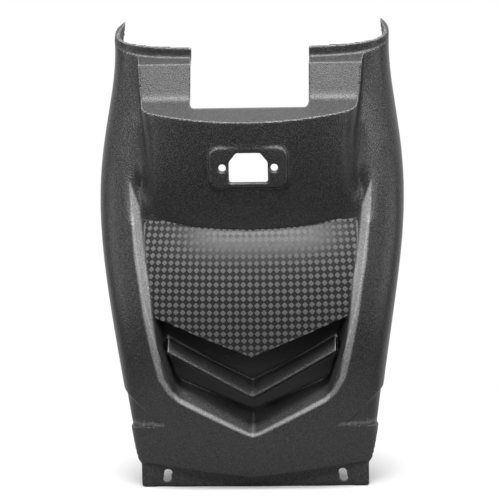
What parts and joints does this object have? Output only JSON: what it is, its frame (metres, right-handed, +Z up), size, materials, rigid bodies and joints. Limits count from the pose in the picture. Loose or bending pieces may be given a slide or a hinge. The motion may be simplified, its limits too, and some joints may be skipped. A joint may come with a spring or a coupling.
{
  "type": "charging port cover",
  "caption": "Moulded front panel for below a scooter's seat, with a raised socket opening, a patterned bulge, a chevron vent, flared sides and a slotted bottom flange.",
  "frame": {"origin": "on the back of the bottom flange, midway between its two fixing slots", "axes": "+X to the right as seen from the front, +Y away from the viewer and into the scooter, +Z up"},
  "size_m": [0.2378, 0.116, 0.358],
  "materials": {
    "moulding": "fine moulded grain, with glossier diamonds on the bulge"
  },
  "bodies": {
    "root": {"charging_port_cover": "moulding"}
  },
  "joints": []
}
